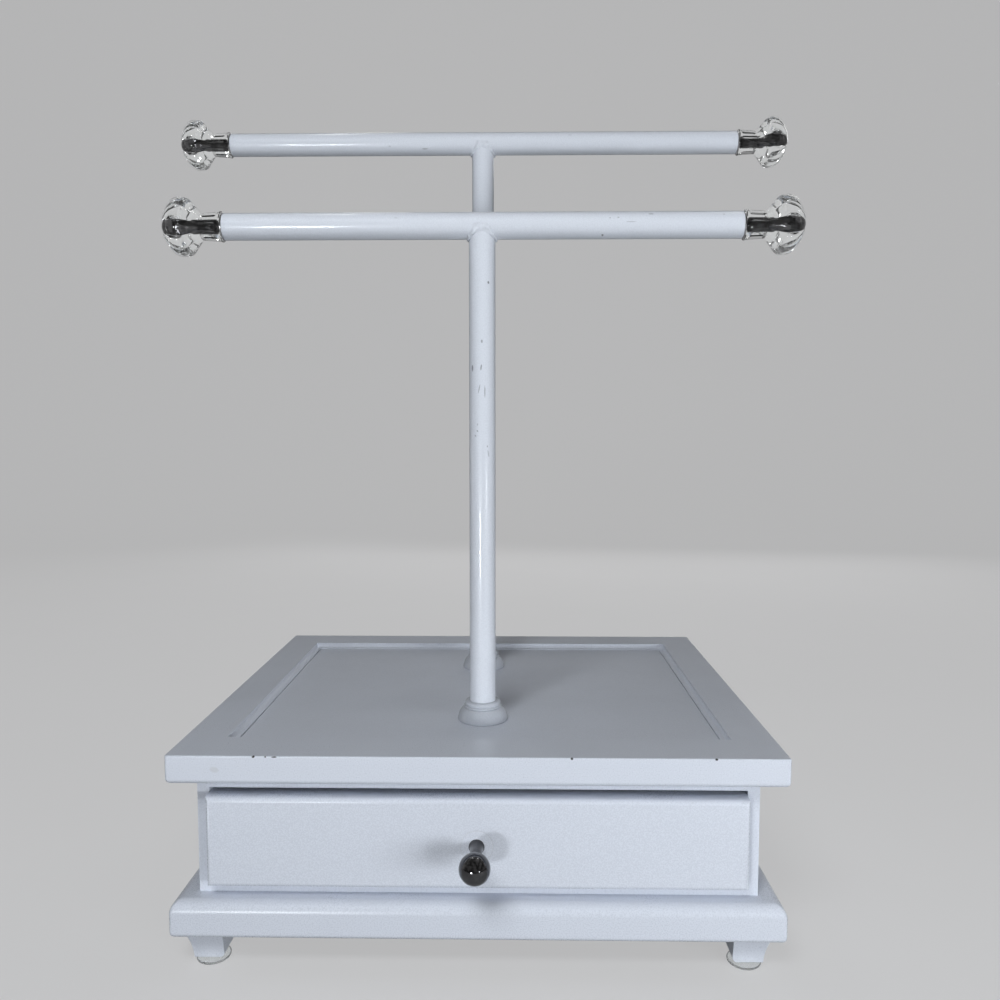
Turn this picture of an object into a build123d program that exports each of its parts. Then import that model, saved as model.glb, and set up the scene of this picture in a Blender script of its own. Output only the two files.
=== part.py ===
from build123d import *
import os
from math import cos, radians, sin, sqrt

# A free-standing jewelry stand: a footed box with one drawer, and two T-shaped
# bars of different height on its framed top. All sizes are in millimetres.
# While it is modelled, X = 0 is the middle of the plates, Y = 0 their front
# edge and Z = 0 the surface that the stand rests on.

# ---- plates ------------------------------------------------------------
plate_width = 305.0
plate_depth = 254.0
top_thickness = 14.5
base_thickness = 18.5
plate_corner_radius = 1.5
top_upper_round = 0.8
top_lower_round = 2.6
base_upper_round = 6.0
base_lower_round = 2.6

# ---- framed top --------------------------------------------------------
side_rail_width = 22.6
front_rail_width = 27.0
back_rail_width = 24.5
recess_depth = 3.2
cove_radius = 2.4
ledge_width = 1.2
ledge_thickness = 2.8
panel_step = 0.3
panel_seam = 0.35
rebate_width = 8.0
rebate_gap = 0.2

# ---- case --------------------------------------------------------------
case_setback = 11.75
case_height = 60.0
case_board = 6.0

# ---- feet and pads -----------------------------------------------------
foot_width = 18.5
foot_height = 15.5
foot_inset = 5.9
foot_taper = 3.2
foot_outer_round = 1.2
foot_inner_round = 3.2
foot_square_edge = 1.0
foot_hollow_level = 0.55
foot_hollow_depth = 0.12
pad_radius = 8.5
pad_thickness = 1.5
pad_round = 0.6
pad_shift_in = 2.4
pad_shift_out = 1.5

# ---- drawer ------------------------------------------------------------
drawer_front_thickness = 14.5
drawer_proud = 8.6
drawer_front_round = 2.4
drawer_gap_side = 0.5
drawer_gap_below = 0.4
drawer_gap_above = 2.0
drawer_gap_behind = 0.8
drawer_box_gap_side = 1.0
drawer_board = 6.0
drawer_side_height = 38.0
drawer_floor_thickness = 3.0
drawer_floor_lift = 5.0
groove_depth = 3.0
groove_gap = 0.1
liner_thickness = 1.2
liner_gap = 0.5

# ---- drawer knob -------------------------------------------------------
knob_ball_radius = 7.5
knob_ball_reach = 21.7
knob_drop = 1.0
knob_foot_radius = 3.9
knob_neck_radius = 3.0
knob_foot_length = 5.0
knob_flare_middle = 0.5
knob_flare_width = 0.3
knob_screw_radius = 2.0
knob_screw_bite = 9.0
knob_screw_head_radius = 3.8
knob_screw_head_height = 2.4

# ---- stands: post, bar, flange -----------------------------------------
tube_radius = 7.2
tube_wall = 1.2
front_stand_x = 0.8
front_stand_y = 68.5
front_bar_height = 378.7
front_bar_length = 280.0
rear_stand_x = -2.6
rear_stand_y = 178.5
rear_bar_height = 458.2
rear_bar_length = 333.3
weld_throat = 1.7
flange_radius = 14.0
flange_height = 11.0
flange_rim_height = 1.2
flange_dome_fullness = 0.1
flange_collar_radius = 9.9
flange_collar_height = 2.3
flange_ring_radius = 10.6
flange_ring_height = 1.3
flange_fit = 0.12

# ---- post fastening ----------------------------------------------------
plug_length = 20.0
plug_fit = 0.05
bolt_radius = 3.0
bolt_bite = 15.0
bolt_head_radius = 6.0
bolt_head_height = 3.2
bolt_socket_width = 4.0
washer_radius = 7.5
washer_thickness = 1.2
bolt_hole_gap = 0.3
thread_fit = 0.05

# ---- finials -----------------------------------------------------------
finial_flutes = 10
finial_length = 32.2
finial_head_radius = 16.0
finial_widest_at = 21.4
finial_shoulder_radius = 5.0
finial_shoulder_angle = 60.0
finial_crown_angle = 45.0
finial_waist_radius = 7.1
finial_waist_at = 11.4
finial_foot_radius = 7.8
finial_lip_radius = 8.2
finial_lip_height = 1.2
finial_lip_round = 0.4
flute_cutter_radius = 3.0
flute_depth = 1.6
end_plug_length = 10.0
end_plug_lip = 0.8
stud_radius = 2.5
stud_in_plug = 8.0
stud_in_finial = 27.0
stud_hole_gap = 0.1
stud_hole_spare = 1.0

# ---- wood screws -------------------------------------------------------
screw_radius = 1.9
screw_head_radius = 3.8
screw_point_length = 3.0
screw_fit = 0.05
cross_width = 0.9
cross_depth = 1.2
panel_screw_length = 15.0
base_screw_length = 17.0
foot_screw_length = 27.0
case_screw_inset_side = 24.0
case_screw_inset_end = 30.0
foot_counterbore_depth = 4.0
foot_counterbore_gap = 0.5

# ---- levels and lines that follow from the sizes above -----------------
foot_bottom = pad_thickness
base_bottom = foot_bottom + foot_height
case_bottom = base_bottom + base_thickness
case_floor = case_bottom + case_board
case_top = case_bottom + case_height
case_ceiling = case_top - case_board
plate_top = case_top + top_thickness
ledge_top = plate_top - recess_depth
ledge_bottom = ledge_top - ledge_thickness
panel_top = ledge_top - panel_step

case_left = -plate_width / 2 + case_setback
case_right = plate_width / 2 - case_setback
case_front = case_setback
case_back_face = plate_depth - case_setback
bay_left = case_left + case_board
bay_right = case_right - case_board
bay_back = case_back_face - case_board

sight_left = -plate_width / 2 + side_rail_width + cove_radius + ledge_width
sight_right = -sight_left
sight_front = front_rail_width + cove_radius + ledge_width
sight_back = plate_depth - back_rail_width - cove_radius - ledge_width

drawer_bottom_level = case_floor + drawer_gap_below
drawer_front_top = case_ceiling - drawer_gap_above
drawer_front_face = case_front - drawer_proud
drawer_front_back = drawer_front_face + drawer_front_thickness
drawer_end = bay_back - drawer_gap_behind
drawer_outer_left = bay_left + drawer_box_gap_side
drawer_outer_right = bay_right - drawer_box_gap_side
drawer_inner_left = drawer_outer_left + drawer_board
drawer_inner_right = drawer_outer_right - drawer_board
drawer_inner_end = drawer_end - drawer_board
drawer_floor_bottom = drawer_bottom_level + drawer_floor_lift
drawer_floor_top = drawer_floor_bottom + drawer_floor_thickness
knob_level = (drawer_bottom_level + drawer_front_top) / 2 - knob_drop

# The origin is the middle of the whole footprint, from the knob to the back
# edge and from one rear finial to the other, on the surface below.
footprint_front = drawer_front_face - knob_ball_reach - knob_ball_radius
origin_shift = Pos(-rear_stand_x, -(footprint_front + plate_depth) / 2, 0)

os.makedirs("parts", exist_ok=True)


def save(name, shape):
    """Write one sub-part to its own STEP file, in the stand's own frame."""
    export_step(origin_shift * shape, f"parts/{name}.step")


def block(x0, x1, y0, y1, z0, z1):
    """A rectangular solid between two opposite corners."""
    centre = Pos((x0 + x1) / 2, (y0 + y1) / 2, (z0 + z1) / 2)
    return centre * Box(x1 - x0, y1 - y0, z1 - z0)


def rod(radius, x, y, z0, z1):
    """An upright cylinder."""
    return Pos(x, y, (z0 + z1) / 2) * Cylinder(radius, z1 - z0)


def rod_along_x(radius, x0, x1, y, z):
    """A cylinder that lies along X."""
    return Pos((x0 + x1) / 2, y, z) * Rot(0, 90, 0) * Cylinder(radius, x1 - x0)


def turned(*edges):
    """The solid of revolution about Z of a closed outline in radius and height."""
    return revolve(Plane.XZ * make_face(Curve() + list(edges)), Axis.Z)


def top_edges(shape):
    return shape.faces().sort_by(Axis.Z)[-1].edges()


def bottom_edges(shape):
    return shape.faces().sort_by(Axis.Z)[0].edges()


# ---- wood screw --------------------------------------------------------
def wood_screw(length):
    """A countersunk screw with its flat head's face at Z = 0, pointing up +Z."""
    head_depth = screw_head_radius - screw_radius
    shank_end = length - screw_point_length
    body = turned(
        Line((0, 0), (screw_head_radius, 0)),
        Line((screw_head_radius, 0), (screw_radius, head_depth)),
        Line((screw_radius, head_depth), (screw_radius, shank_end)),
        Line((screw_radius, shank_end), (0, length)),
        Line((0, length), (0, 0)),
    )
    arm = Pos(0, 0, cross_depth / 2) * Box(2 * screw_radius, cross_width, cross_depth)
    return body - arm - Rot(0, 0, 90) * arm


def screw_hole(length):
    """The room that a wood screw takes, with its fit all round."""
    radius = screw_radius + screw_fit
    head = screw_head_radius + screw_fit
    return turned(
        Line((0, -screw_fit), (head, -screw_fit)),
        Line((head, -screw_fit), (head, 0)),
        Line((head, 0), (radius, head - radius)),
        Line((radius, head - radius), (radius, length + screw_fit)),
        Line((radius, length + screw_fit), (0, length + screw_fit)),
        Line((0, length + screw_fit), (0, -screw_fit)),
    )


case_screw_spots = [
    (x, y)
    for x in (bay_left + case_screw_inset_side, bay_right - case_screw_inset_side)
    for y in (case_front + case_screw_inset_end, bay_back - case_screw_inset_end)
]
panel_screw_places = [Pos(x, y, case_ceiling) for x, y in case_screw_spots]
base_screw_places = [Pos(x, y, case_floor) * Rot(180, 0, 0) for x, y in case_screw_spots]


# ---- stands: the two T-shaped bars -------------------------------------
stands = {
    "front": (front_stand_x, front_stand_y, front_bar_height, front_bar_length),
    "rear": (rear_stand_x, rear_stand_y, rear_bar_height, rear_bar_length),
}
bore_radius = tube_radius - tube_wall
bolt_hole_radius = bolt_radius + bolt_hole_gap


def post(x, y, bar_height):
    """An upright tube, its upper end coped to sit against the bar."""
    outside = rod(tube_radius, x, y, panel_top, bar_height)
    inside = rod(bore_radius, x, y, panel_top, bar_height)
    saddle = rod_along_x(tube_radius, x - 2 * tube_radius, x + 2 * tube_radius, y, bar_height)
    return outside - inside - saddle


def bar(x, y, height, length):
    """A level tube, open at both ends."""
    x0, x1 = x - length / 2, x + length / 2
    return rod_along_x(tube_radius, x0, x1, y, height) - rod_along_x(bore_radius, x0, x1, y, height)


def weld(x, y, height):
    """The bead that follows the saddle line between post and bar."""
    reach = tube_radius + weld_throat
    around_bar = rod_along_x(reach, x - 2 * reach, x + 2 * reach, y, height)
    around_post = rod(reach, x, y, height - 2 * reach, height)
    bar_room = rod_along_x(tube_radius, x - 3 * reach, x + 3 * reach, y, height)
    post_room = rod(tube_radius, x, y, height - 3 * reach, height + reach)
    return (around_bar & around_post) - bar_room - post_room


def flange(x, y):
    """The domed collar that covers the foot of a post."""
    hole = tube_radius + flange_fit
    collar_foot = flange_height - flange_collar_height
    ring_foot = collar_foot - flange_ring_height
    dome_top = (flange_ring_radius, ring_foot)
    rim_top = (flange_radius, flange_rim_height)
    dome_run, dome_rise = flange_radius - flange_ring_radius, ring_foot - flange_rim_height
    dome_middle = (
        flange_ring_radius + dome_run * (0.5 + flange_dome_fullness),
        flange_rim_height + dome_rise * (0.5 + flange_dome_fullness),
    )
    lip = (flange_collar_radius - hole) / 2
    body = turned(
        Line((hole, 0), (flange_radius, 0)),
        Line((flange_radius, 0), rim_top),
        ThreePointArc(rim_top, dome_middle, dome_top),
        Line(dome_top, (flange_ring_radius, collar_foot)),
        Line((flange_ring_radius, collar_foot), (flange_collar_radius, collar_foot)),
        Line((flange_collar_radius, collar_foot), (flange_collar_radius, flange_height - lip)),
        JernArc((flange_collar_radius, flange_height - lip), (0, 1), lip, 90),
        Line((flange_collar_radius - lip, flange_height), (hole, flange_height)),
        Line((hole, flange_height), (hole, 0)),
    )
    return Pos(x, y, panel_top) * body


def post_plug(x, y):
    """The threaded plug fixed in the lower end of a post."""
    plug = rod(bore_radius - plug_fit, x, y, panel_top, panel_top + plug_length)
    return plug - rod(bolt_radius + thread_fit, x, y, panel_top, panel_top + plug_length)


def post_washer(x, y):
    washer = rod(washer_radius, x, y, case_ceiling - washer_thickness, case_ceiling)
    return washer - rod(bolt_hole_radius, x, y, case_ceiling - washer_thickness, case_ceiling)


def post_bolt(x, y):
    """The machine screw that pulls a post down, put in from inside the case."""
    seat = case_ceiling - washer_thickness
    shank = rod(bolt_radius, x, y, seat, panel_top + bolt_bite)
    head = rod(bolt_head_radius, x, y, seat - bolt_head_height, seat)
    head = fillet(bottom_edges(head), bolt_head_height / 3)
    socket = Pos(x, y, seat - bolt_head_height) * extrude(
        RegularPolygon(bolt_socket_width / 2, 6, major_radius=False), bolt_head_height / 2
    )
    return shank + head - socket


for end, (x, y, height, length) in stands.items():
    save(f"post_{end}", post(x, y, height))
    save(f"bar_{end}", bar(x, y, height, length))
    save(f"weld_{end}", weld(x, y, height))
    save(f"flange_{end}", flange(x, y))
    save(f"post_plug_{end}", post_plug(x, y))
save("post_bolts", Compound([post_bolt(x, y) for x, y, _, _ in stands.values()]))
save("post_washers", Compound([post_washer(x, y) for x, y, _, _ in stands.values()]))


# ---- finials, built standing on Z = 0 and then laid along the bars ------
def finial():
    """A clear fluted knob: faceted neck, waist and a domed, lobed head."""
    dome = finial_length - finial_widest_at
    rise = radians(finial_crown_angle)
    share = (1 - sin(rise)) / cos(rise)
    side_radius = (dome - share * finial_head_radius) / (1 - share)
    side_x = finial_head_radius - side_radius
    crown_radius = side_x / cos(rise) + side_radius
    crown_centre = finial_length - crown_radius
    fall = radians(finial_shoulder_angle)
    shoulder_x = finial_head_radius - finial_shoulder_radius
    shoulder_foot = (
        shoulder_x + finial_shoulder_radius * cos(fall),
        finial_widest_at - finial_shoulder_radius * sin(fall),
    )
    waist = (finial_waist_radius, finial_waist_at)
    head = turned(
        Line((0, finial_waist_at), waist),
        Line(waist, shoulder_foot),
        CenterArc(
            (shoulder_x, finial_widest_at), finial_shoulder_radius,
            -finial_shoulder_angle, finial_shoulder_angle,
        ),
        CenterArc((side_x, finial_widest_at), side_radius, 0, finial_crown_angle),
        CenterArc((0, crown_centre), crown_radius, finial_crown_angle, 90 - finial_crown_angle),
        Line((0, finial_length), (0, finial_waist_at)),
    )
    neck_sections = [
        RegularPolygon(finial_foot_radius, finial_flutes),
        Pos(0, 0, finial_waist_at) * RegularPolygon(finial_waist_radius, finial_flutes),
    ]
    neck = loft(neck_sections)
    lip = Pos(0, 0, finial_lip_height / 2) * Cylinder(finial_lip_radius, finial_lip_height)
    solid = head + neck + fillet(lip.edges(), finial_lip_round)

    ring_radius = finial_head_radius + flute_cutter_radius - flute_depth
    ring = Pos(0, 0, finial_widest_at) * Rot(90, 0, 0) * Torus(ring_radius, flute_cutter_radius)
    room = 2 * finial_length
    cutter = ring & block(0, room, -room, room, finial_waist_at, room)
    step = 360 / finial_flutes
    for index in range(finial_flutes):
        solid -= Rot(0, 0, step * (index + 0.5)) * cutter
    hole_depth = stud_in_finial + stud_hole_spare
    return solid - Pos(0, 0, hole_depth / 2) * Cylinder(stud_radius + stud_hole_gap, hole_depth)


def end_plug():
    """The threaded plug in a bar's end, with a thin lip over the tube's edge."""
    body = Pos(0, 0, -end_plug_length / 2) * Cylinder(bore_radius - plug_fit, end_plug_length)
    lip = Pos(0, 0, end_plug_lip / 2) * Cylinder(tube_radius, end_plug_lip)
    bore_length = end_plug_length + end_plug_lip
    bore = Pos(0, 0, end_plug_lip - bore_length / 2) * Cylinder(stud_radius + thread_fit, bore_length)
    return body + lip - bore


def finial_stud():
    """The threaded rod that joins a finial to its plug."""
    length = stud_in_plug + stud_in_finial
    middle = end_plug_lip + (stud_in_finial - stud_in_plug) / 2
    return Pos(0, 0, middle) * Cylinder(stud_radius, length)


glass = Pos(0, 0, end_plug_lip) * finial()
plug = end_plug()
stud = finial_stud()
studs = []
for end, (x, y, height, length) in stands.items():
    for side, sign in (("left", -1), ("right", 1)):
        bar_end = Pos(x + sign * length / 2, y, height) * Rot(0, sign * 90, 0)
        save(f"finial_{end}_{side}", bar_end * glass)
        save(f"bar_end_plug_{end}_{side}", bar_end * plug)
        studs.append(bar_end * stud)
save("finial_studs", Compound(studs))


# ---- framed top --------------------------------------------------------
def top_frame():
    """The top plate: a frame with a coved inner edge and a rebate from below."""
    body = block(-plate_width / 2, plate_width / 2, 0, plate_depth, case_top, plate_top)
    body = fillet(body.edges().filter_by(Axis.Z), plate_corner_radius)
    body = fillet(bottom_edges(body), top_lower_round)
    body = fillet(top_edges(body), top_upper_round)
    pocket = block(
        -plate_width / 2 + side_rail_width, plate_width / 2 - side_rail_width,
        front_rail_width, plate_depth - back_rail_width,
        ledge_top, plate_top + recess_depth,
    )
    pocket = fillet(bottom_edges(pocket), cove_radius)
    sight = block(sight_left, sight_right, sight_front, sight_back, case_top, plate_top)
    rebate = block(
        sight_left - rebate_width, sight_right + rebate_width,
        sight_front - rebate_width, sight_back + rebate_width,
        case_top, ledge_bottom,
    )
    return body - pocket - sight - rebate


def top_panel():
    """The panel that fills the frame, with a tongue under the frame's ledge."""
    reach = rebate_width - rebate_gap
    tongue = block(
        sight_left - reach, sight_right + reach, sight_front - reach, sight_back + reach,
        case_top, ledge_bottom - rebate_gap,
    )
    field = block(
        sight_left + panel_seam, sight_right - panel_seam,
        sight_front + panel_seam, sight_back - panel_seam,
        case_top, panel_top,
    )
    body = tongue + field
    for x, y, _, _ in stands.values():
        body -= rod(bolt_hole_radius, x, y, case_top, panel_top)
    for place in panel_screw_places:
        body -= place * screw_hole(panel_screw_length)
    return body


save("top_frame", top_frame())
save("top_panel", top_panel())


# ---- case --------------------------------------------------------------
def case_top_board():
    body = block(case_left, case_right, case_front, case_back_face, case_ceiling, case_top)
    for x, y, _, _ in stands.values():
        body -= rod(bolt_hole_radius, x, y, case_ceiling, case_top)
    for place in panel_screw_places:
        body -= place * screw_hole(panel_screw_length)
    return body


def case_bottom_board():
    body = block(case_left, case_right, case_front, case_back_face, case_bottom, case_floor)
    for place in base_screw_places:
        body -= place * screw_hole(base_screw_length)
    return body


save("case_top_board", case_top_board())
save("case_bottom_board", case_bottom_board())
save("case_side_left", block(case_left, bay_left, case_front, case_back_face, case_floor, case_ceiling))
save("case_side_right", block(bay_right, case_right, case_front, case_back_face, case_floor, case_ceiling))
save("case_back", block(bay_left, bay_right, bay_back, case_back_face, case_floor, case_ceiling))
save("panel_screws", Compound([place * wood_screw(panel_screw_length) for place in panel_screw_places]))
save("base_screws", Compound([place * wood_screw(base_screw_length) for place in base_screw_places]))


# ---- base plate, feet and pads -----------------------------------------
foot_offset_x = plate_width / 2 - foot_inset - foot_width / 2
foot_offset_y = plate_depth / 2 - foot_inset - foot_width / 2
foot_seat = foot_bottom + foot_counterbore_depth
corners = {
    "front_left": (-1, -1),
    "front_right": (1, -1),
    "rear_left": (-1, 1),
    "rear_right": (1, 1),
}


def foot_outline():
    """One side view of a foot, outer side at +X: a hollow taper to a small toe."""
    half = foot_width / 2
    toe = half - foot_taper
    taper_start = (half, foot_height - foot_square_edge)
    hollow = ((half + toe) / 2 - foot_taper * foot_hollow_depth, foot_height * foot_hollow_level)
    outline = Polyline((-half, foot_height), (half, foot_height), taper_start)
    outer = ThreePointArc(taper_start, hollow, (toe, foot_outer_round))
    toe_arc = CenterArc((toe - foot_outer_round, foot_outer_round), foot_outer_round, 0, -90)
    sole = Line((toe - foot_outer_round, 0), (-half + foot_inner_round, 0))
    heel = CenterArc((-half + foot_inner_round, foot_inner_round), foot_inner_round, -90, -90)
    inner = Line((-half, foot_inner_round), (-half, foot_height))
    return make_face(Curve() + [outline, outer, toe_arc, sole, heel, inner])


def foot(side_x, side_y):
    """A bracket foot, tapered on both of its outer sides."""
    outline = foot_outline()
    seen_from_front = extrude(Plane.XZ * outline, foot_width, both=True)
    seen_from_side = Rot(0, 0, 90) * seen_from_front
    body = seen_from_front & seen_from_side
    if side_x < 0:
        body = mirror(body, Plane.YZ)
    if side_y < 0:
        body = mirror(body, Plane.XZ)
    head_room = screw_head_radius + foot_counterbore_gap
    body -= rod(head_room, 0, 0, 0, foot_counterbore_depth)
    body -= rod(screw_radius + screw_fit, 0, 0, foot_counterbore_depth, foot_height)
    body -= Pos(0, 0, foot_counterbore_depth) * screw_hole(foot_screw_length)
    return body


def foot_place(side_x, side_y):
    return Pos(side_x * foot_offset_x, plate_depth / 2 + side_y * foot_offset_y, foot_bottom)


def foot_pad():
    """A clear stick-on bumper with a rounded lower edge."""
    body = rod(pad_radius, 0, 0, 0, pad_thickness)
    return fillet(bottom_edges(body), pad_round)


def pad_place(side_x, side_y):
    x = side_x * (foot_offset_x - pad_shift_in)
    y = plate_depth / 2 + side_y * (foot_offset_y + pad_shift_out)
    return Pos(x, y, 0)


def foot_screw_place(side_x, side_y):
    return foot_place(side_x, side_y) * Pos(0, 0, foot_counterbore_depth)


def base_plate():
    body = block(-plate_width / 2, plate_width / 2, 0, plate_depth, base_bottom, case_bottom)
    body = fillet(body.edges().filter_by(Axis.Z), plate_corner_radius)
    body = fillet(bottom_edges(body), base_lower_round)
    body = fillet(top_edges(body), base_upper_round)
    for place in base_screw_places:
        body -= place * screw_hole(base_screw_length)
    for sides in corners.values():
        body -= foot_screw_place(*sides) * screw_hole(foot_screw_length)
    return body


save("base_plate", base_plate())
for corner, sides in corners.items():
    save(f"foot_{corner}", foot_place(*sides) * foot(*sides))
    save(f"foot_pad_{corner}", pad_place(*sides) * foot_pad())
foot_screws = [foot_screw_place(*sides) * wood_screw(foot_screw_length) for sides in corners.values()]
save("foot_screws", Compound(foot_screws))


# ---- drawer ------------------------------------------------------------
drawer_side_top = drawer_bottom_level + drawer_side_height
floor_room = block(
    drawer_inner_left - groove_depth, drawer_inner_right + groove_depth,
    drawer_front_back - groove_depth, drawer_inner_end + groove_depth,
    drawer_floor_bottom - groove_gap, drawer_floor_top + groove_gap,
)
knob_axis = Pos(0, drawer_front_face, knob_level) * Rot(90, 0, 0)


def drawer_front():
    """The drawer's face board, its show edges rounded over."""
    body = block(
        bay_left + drawer_gap_side, bay_right - drawer_gap_side,
        drawer_front_face, drawer_front_back, drawer_bottom_level, drawer_front_top,
    )
    body = fillet(body.faces().sort_by(Axis.Y)[0].edges(), drawer_front_round)
    hole_radius = knob_screw_radius + screw_fit
    hole = Pos(0, 0, -drawer_front_thickness / 2) * Cylinder(hole_radius, drawer_front_thickness)
    return body - floor_room - knob_axis * hole


def drawer_side(x0, x1):
    body = block(x0, x1, drawer_front_back, drawer_end, drawer_bottom_level, drawer_side_top)
    return body - floor_room


def drawer_back():
    body = block(
        drawer_inner_left, drawer_inner_right, drawer_inner_end, drawer_end,
        drawer_bottom_level, drawer_side_top,
    )
    return body - floor_room


def drawer_floor():
    """The thin board that lies in the grooves of the other four."""
    inset = groove_depth - groove_gap
    return block(
        drawer_inner_left - inset, drawer_inner_right + inset,
        drawer_front_back - inset, drawer_inner_end + inset,
        drawer_floor_bottom, drawer_floor_top,
    )


def drawer_liner():
    """The felt that covers the drawer's floor."""
    return block(
        drawer_inner_left + liner_gap, drawer_inner_right - liner_gap,
        drawer_front_back + liner_gap, drawer_inner_end - liner_gap,
        drawer_floor_top, drawer_floor_top + liner_thickness,
    )


def drawer_knob():
    """A ball on a slim neck that flares to its foot, along the drawer's travel."""
    neck_top = knob_ball_reach - sqrt(knob_ball_radius**2 - knob_neck_radius**2)
    neck_foot = (knob_neck_radius, knob_foot_length)
    flare_middle = (
        knob_neck_radius + (knob_foot_radius - knob_neck_radius) * knob_flare_width,
        knob_foot_length * knob_flare_middle,
    )
    ball_front = knob_ball_reach + knob_ball_radius
    body = turned(
        Line((0, 0), (knob_foot_radius, 0)),
        ThreePointArc((knob_foot_radius, 0), flare_middle, neck_foot),
        Line(neck_foot, (knob_neck_radius, neck_top)),
        ThreePointArc((knob_neck_radius, neck_top), (knob_ball_radius, knob_ball_reach), (0, ball_front)),
        Line((0, ball_front), (0, 0)),
    )
    bore_length = knob_screw_bite + stud_hole_spare
    bore = Pos(0, 0, bore_length / 2) * Cylinder(knob_screw_radius + screw_fit, bore_length)
    return knob_axis * (body - bore)


def knob_screw():
    """The pan-headed screw that holds the knob from inside the drawer."""
    length = drawer_front_thickness + knob_screw_bite
    shank = Pos(0, 0, knob_screw_bite - length / 2) * Cylinder(knob_screw_radius, length)
    head_middle = -drawer_front_thickness - knob_screw_head_height / 2
    head = Pos(0, 0, head_middle) * Cylinder(knob_screw_head_radius, knob_screw_head_height)
    head = fillet(bottom_edges(head), knob_screw_head_height / 2)
    head_face = -drawer_front_thickness - knob_screw_head_height
    arm = Pos(0, 0, head_face + cross_depth / 2) * Box(2 * knob_screw_radius, cross_width, cross_depth)
    return knob_axis * (shank + head - arm - Rot(0, 0, 90) * arm)


save("drawer_front", drawer_front())
save("drawer_side_left", drawer_side(drawer_outer_left, drawer_inner_left))
save("drawer_side_right", drawer_side(drawer_inner_right, drawer_outer_right))
save("drawer_back", drawer_back())
save("drawer_floor", drawer_floor())
save("drawer_liner", drawer_liner())
save("drawer_knob", drawer_knob())
save("knob_screw", knob_screw())
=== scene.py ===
"""Looks for a white jewelry stand: drawer box, framed tray and two T stands with clear end knobs."""

from math import acos, cos, degrees, pi, radians, sin, sqrt

import bmesh
import bpy
from mathutils import Matrix, Vector


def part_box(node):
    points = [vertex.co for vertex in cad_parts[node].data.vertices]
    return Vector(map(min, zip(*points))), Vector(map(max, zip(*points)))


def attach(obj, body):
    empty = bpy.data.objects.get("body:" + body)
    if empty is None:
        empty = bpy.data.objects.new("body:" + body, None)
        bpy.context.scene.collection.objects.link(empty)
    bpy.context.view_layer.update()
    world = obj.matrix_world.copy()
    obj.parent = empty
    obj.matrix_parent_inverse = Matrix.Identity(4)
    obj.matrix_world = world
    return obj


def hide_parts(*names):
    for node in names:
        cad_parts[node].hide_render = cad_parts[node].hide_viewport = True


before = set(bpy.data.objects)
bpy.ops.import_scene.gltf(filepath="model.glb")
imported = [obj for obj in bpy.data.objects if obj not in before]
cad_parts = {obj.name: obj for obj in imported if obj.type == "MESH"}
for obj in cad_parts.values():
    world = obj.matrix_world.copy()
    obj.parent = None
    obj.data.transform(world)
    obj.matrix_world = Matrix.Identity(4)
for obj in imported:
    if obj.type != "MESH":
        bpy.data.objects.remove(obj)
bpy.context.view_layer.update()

MM = 0.001
MERGE_DISTANCE = 0.004 * MM


# ---- sizes read from the frame -----------------------------------------
def middle(node):
    low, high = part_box(node)
    return (low + high) / 2


def span(node):
    low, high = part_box(node)
    return high - low


tray_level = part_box("top_panel")[1].z
plate_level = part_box("top_frame")[1].z
plate_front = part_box("top_frame")[0].y
plate_middle = middle("top_frame").x
drawer_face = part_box("drawer_front")[0].y
knob_axis_place = middle("drawer_knob")

# ---- sizes shared with the solids, in metres ---------------------------
tube_radius = 7.2 * MM
tube_wall = 1.2 * MM
tube_lip = 0.35 * MM

finial_flutes = 10
finial_length = 32.2 * MM
finial_lip_radius = 8.1 * MM
finial_lip_height = 1.2 * MM
finial_lip_round = 0.4 * MM
finial_neck_radius = 7.7 * MM
finial_waist_radius = 7.1 * MM
finial_waist_at = 11.4 * MM
finial_head_radius = 15.95 * MM
finial_widest_at = 21.4 * MM
finial_shoulder_radius = 4.6 * MM
finial_shoulder_angle = 50.0
finial_crown_angle = 45.0
flute_depth = 0.115
flute_roundness = 0.62

flange_hole_radius = 7.3 * MM
flange_radius = 14.0 * MM
flange_height = 11.0 * MM
flange_rim_height = 1.2 * MM
flange_foot_round = 0.4 * MM
flange_dome_fullness = 0.12
flange_ring_radius = 10.6 * MM
flange_ring_foot = 7.3 * MM
flange_ring_height = 1.3 * MM
flange_ring_round = 0.5 * MM
flange_collar_radius = 9.9 * MM
flange_collar_round = 1.2 * MM

knob_ball_radius = 7.5 * MM
knob_ball_reach = 21.7 * MM
knob_foot_radius = 3.9 * MM
knob_neck_radius = 3.0 * MM
knob_foot_length = 5.0 * MM
knob_foot_edge = 0.07
knob_flare = ((0.5, 0.22), (0.22, 0.42), (0.06, 0.68), (0.0, 1.0))

stud_radius = 2.5 * MM
stud_in_plug = 8.0 * MM
stud_in_finial = 27.0 * MM
thread_pitch = 0.8 * MM
thread_depth = 0.25 * MM

end_plug_lip = 0.8 * MM
end_plug_length = 10.0 * MM
end_plug_chamfer = 0.4 * MM
end_plug_round = 0.15 * MM

pad_radius = 8.5 * MM
pad_thickness = 1.5 * MM
pad_round = 0.9 * MM
pad_edge = 0.1 * MM

screw_tip_radius = 0.2 * MM
post_top_gap = 0.2 * MM
bead_slimness = 0.955
bead_grain = 0.28 * MM

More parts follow.
